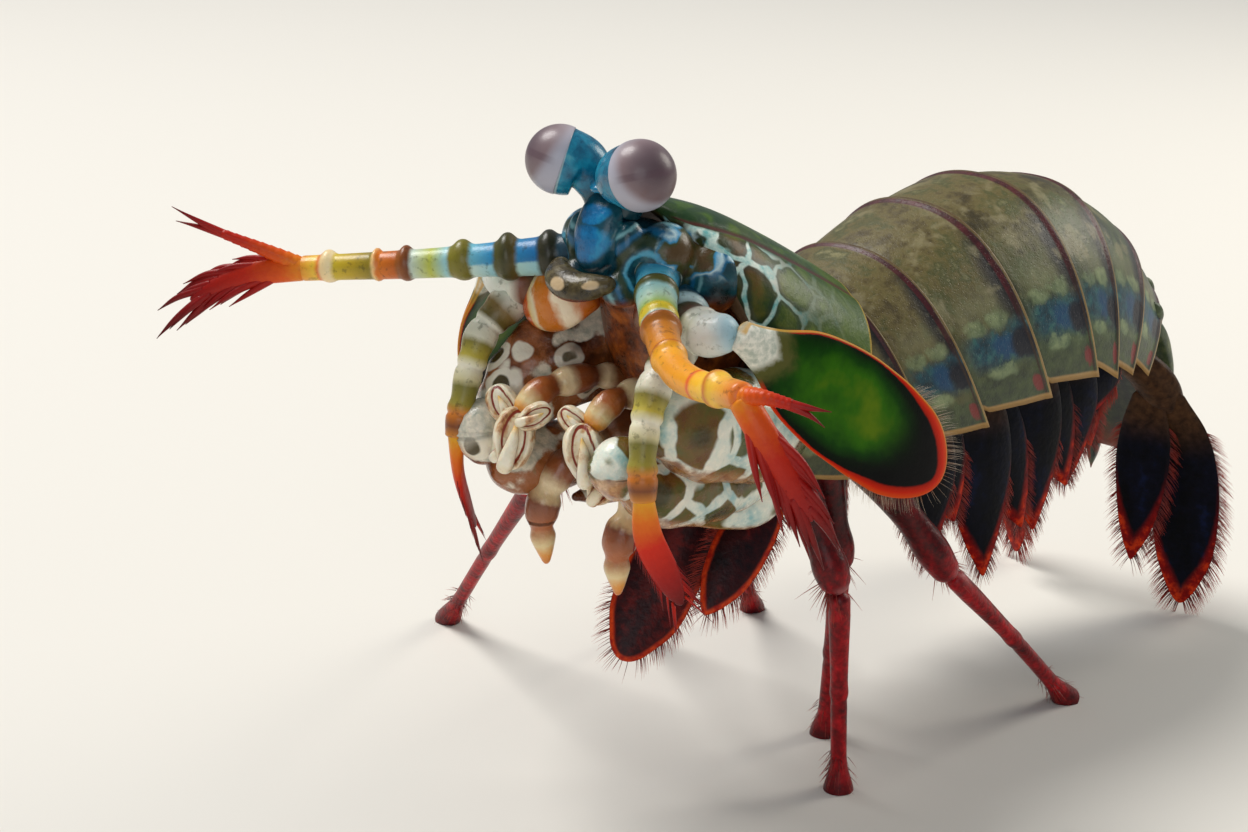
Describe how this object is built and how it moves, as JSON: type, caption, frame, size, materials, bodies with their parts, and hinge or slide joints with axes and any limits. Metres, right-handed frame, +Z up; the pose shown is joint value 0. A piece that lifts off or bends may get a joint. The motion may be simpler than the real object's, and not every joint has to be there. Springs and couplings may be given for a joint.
{
  "type": "mantis shrimp",
  "caption": "Life-size still model of a mantis shrimp standing on its walking legs, head raised, antennules spread, claws folded, tail fan down.",
  "frame": {"origin": "centre of the bounding box's bottom face, on the floor that the feet stand on", "axes": "the head looks along -Y and the tail lies towards +Y, +X is the animal's left, +Z is up"},
  "size_m": [0.096, 0.1223, 0.0756],
  "materials": {
    "shell": "smooth shell, a soft gloss, olive with dark red ring edges",
    "head": "smooth shell, a wet gloss, teal blue",
    "eye": "fine facets, a soft gloss, purple brown with a paler band",
    "banded": "smooth shell, glossy, banded olive, white, blue and orange",
    "spotted": "smooth shell, glossy, white with olive and brown spots",
    "scale": "smooth plate, glossy, dark green with a red rim",
    "fringe": "smooth, satin, red to orange",
    "leg": "smooth shell, glossy, dark red",
    "gill": "thin flaps, satin, blue black with a red fringe"
  },
  "bodies": {
    "root": {"thorax_6": "shell", "thorax_7": "shell", "thorax_8": "shell", "abdomen_1": "shell", "abdomen_2": "shell", "abdomen_3": "shell", "abdomen_4": "shell", "abdomen_5": "shell", "abdomen_6": "shell", "carapace": "shell", "head": "head", "rostral_plate": "head", "eyestalk_left": "head", "eye_left": "eye", "eyestalk_right": "head", "eye_right": "eye", "antennule_stem_left": "banded", "antennule_brush_left": "fringe", "antennule_stem_right": "banded", "antennule_brush_right": "fringe", "antenna_arm_left": "banded", "antennal_scale_left": "scale", "antenna_limb_left": "banded", "antenna_arm_right": "banded", "antennal_scale_right": "scale", "antenna_limb_right": "banded", "claw_arm_left": "spotted", "claw_forearm_left": "spotted", "claw_club_left": "spotted", "claw_arm_right": "spotted", "claw_forearm_right": "spotted", "claw_club_right": "spotted", "maxilliped_3_left": "banded", "maxilliped_4_left": "banded", "maxilliped_5_left": "leg", "maxilliped_3_right": "banded", "maxilliped_4_right": "banded", "maxilliped_5_right": "leg", "leg_1_left": "leg", "leg_2_left": "leg", "leg_3_left": "leg", "leg_1_right": "leg", "leg_2_right": "leg", "leg_3_right": "leg", "swimmeret_1_left": "gill", "swimmeret_1_right": "gill", "swimmeret_2_left": "gill", "swimmeret_2_right": "gill", "swimmeret_3_left": "gill", "swimmeret_3_right": "gill", "swimmeret_4_left": "gill", "swimmeret_4_right": "gill", "swimmeret_5_left": "gill", "swimmeret_5_right": "gill", "telson": "shell", "uropod_left": "gill", "uropod_right": "gill"}
  },
  "joints": []
}
